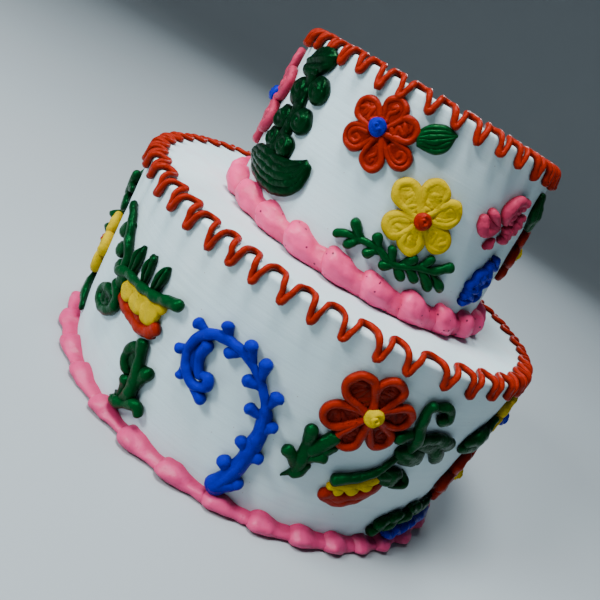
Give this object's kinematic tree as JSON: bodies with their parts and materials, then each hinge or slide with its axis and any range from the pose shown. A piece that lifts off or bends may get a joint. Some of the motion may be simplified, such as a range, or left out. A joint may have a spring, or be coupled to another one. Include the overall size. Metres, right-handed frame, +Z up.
{
  "type": "two-tier decorated cake",
  "caption": "Round two-tier celebration cake with smooth white buttercream, piped shell borders, looped ropes over both rims and raised folk flowers, ferns and leaf vines round the walls.",
  "frame": {"origin": "the middle of the lower tier's flat foot, on the surface that the cake stands on", "axes": "Z is up; -Y is the front, where the blue fern and the large orange flower are; X is to the right of someone who looks at the front"},
  "size_m": [0.2782, 0.2776, 0.2235],
  "materials": {
    "white_buttercream": "soft satin buttercream, smoothed",
    "pink_icing": "soft satin piped icing",
    "orange_red_icing": "slightly glossy piped icing",
    "yellow_icing": "slightly glossy piped icing",
    "green_icing": "slightly glossy piped icing",
    "blue_icing": "slightly glossy piped icing",
    "rose_icing": "slightly glossy piped icing"
  },
  "bodies": {
    "root": {"lower_tier": "white_buttercream", "upper_tier": "white_buttercream", "lower_shell_border": "pink_icing", "upper_shell_border": "pink_icing", "lower_rim_rope": "orange_red_icing", "upper_rim_rope": "orange_red_icing", "lower_left_band": "orange_red_icing", "lower_right_band": "orange_red_icing", "lower_orange_flower": "orange_red_icing", "lower_right_red_flower": "orange_red_icing", "lower_back_flower": "orange_red_icing", "upper_red_flower": "orange_red_icing", "upper_right_flower": "orange_red_icing", "upper_back_red_flower": "orange_red_icing", "lower_left_flower_heart": "orange_red_icing", "lower_back_yellow_flower_heart": "orange_red_icing", "upper_yellow_flower_heart": "orange_red_icing", "upper_back_yellow_flower_heart": "orange_red_icing", "lower_left_scallops": "yellow_icing", "lower_right_scallops": "yellow_icing", "lower_left_flower": "yellow_icing", "lower_right_yellow_flower": "yellow_icing", "lower_back_yellow_flower": "yellow_icing", "upper_yellow_flower": "yellow_icing", "upper_back_yellow_flower": "yellow_icing", "lower_orange_flower_heart": "yellow_icing", "lower_right_red_flower_heart": "yellow_icing", "lower_back_flower_heart": "yellow_icing", "upper_right_flower_heart": "yellow_icing", "upper_back_rose_flower_heart": "yellow_icing", "lower_left_vine": "green_icing", "lower_left_sprig": "green_icing", "lower_middle_sprig": "green_icing", "lower_right_vine": "green_icing", "lower_left_leaves": "green_icing", "lower_left_low_leaf": "green_icing", "lower_right_leaves": "green_icing", "lower_right_low_leaves": "green_icing", "lower_back_sprig": "green_icing", "lower_back_vine": "green_icing", "lower_back_leaves": "green_icing", "upper_leaf_vine": "green_icing", "upper_front_leaf": "green_icing", "upper_front_fern": "green_icing", "upper_right_leaf": "green_icing", "upper_back_fern": "green_icing", "upper_back_leaf_vine": "green_icing", "lower_blue_fern": "blue_icing", "lower_back_fern": "blue_icing", "lower_right_blue_base": "blue_icing", "upper_blue_vine": "blue_icing", "upper_back_blue_vine": "blue_icing", "lower_right_yellow_flower_heart": "blue_icing", "upper_red_flower_heart": "blue_icing", "upper_left_flower_heart": "blue_icing", "upper_back_red_flower_heart": "blue_icing", "upper_rose_flower": "rose_icing", "upper_left_flower": "rose_icing", "upper_back_rose_flower": "rose_icing"}
  },
  "joints": []
}
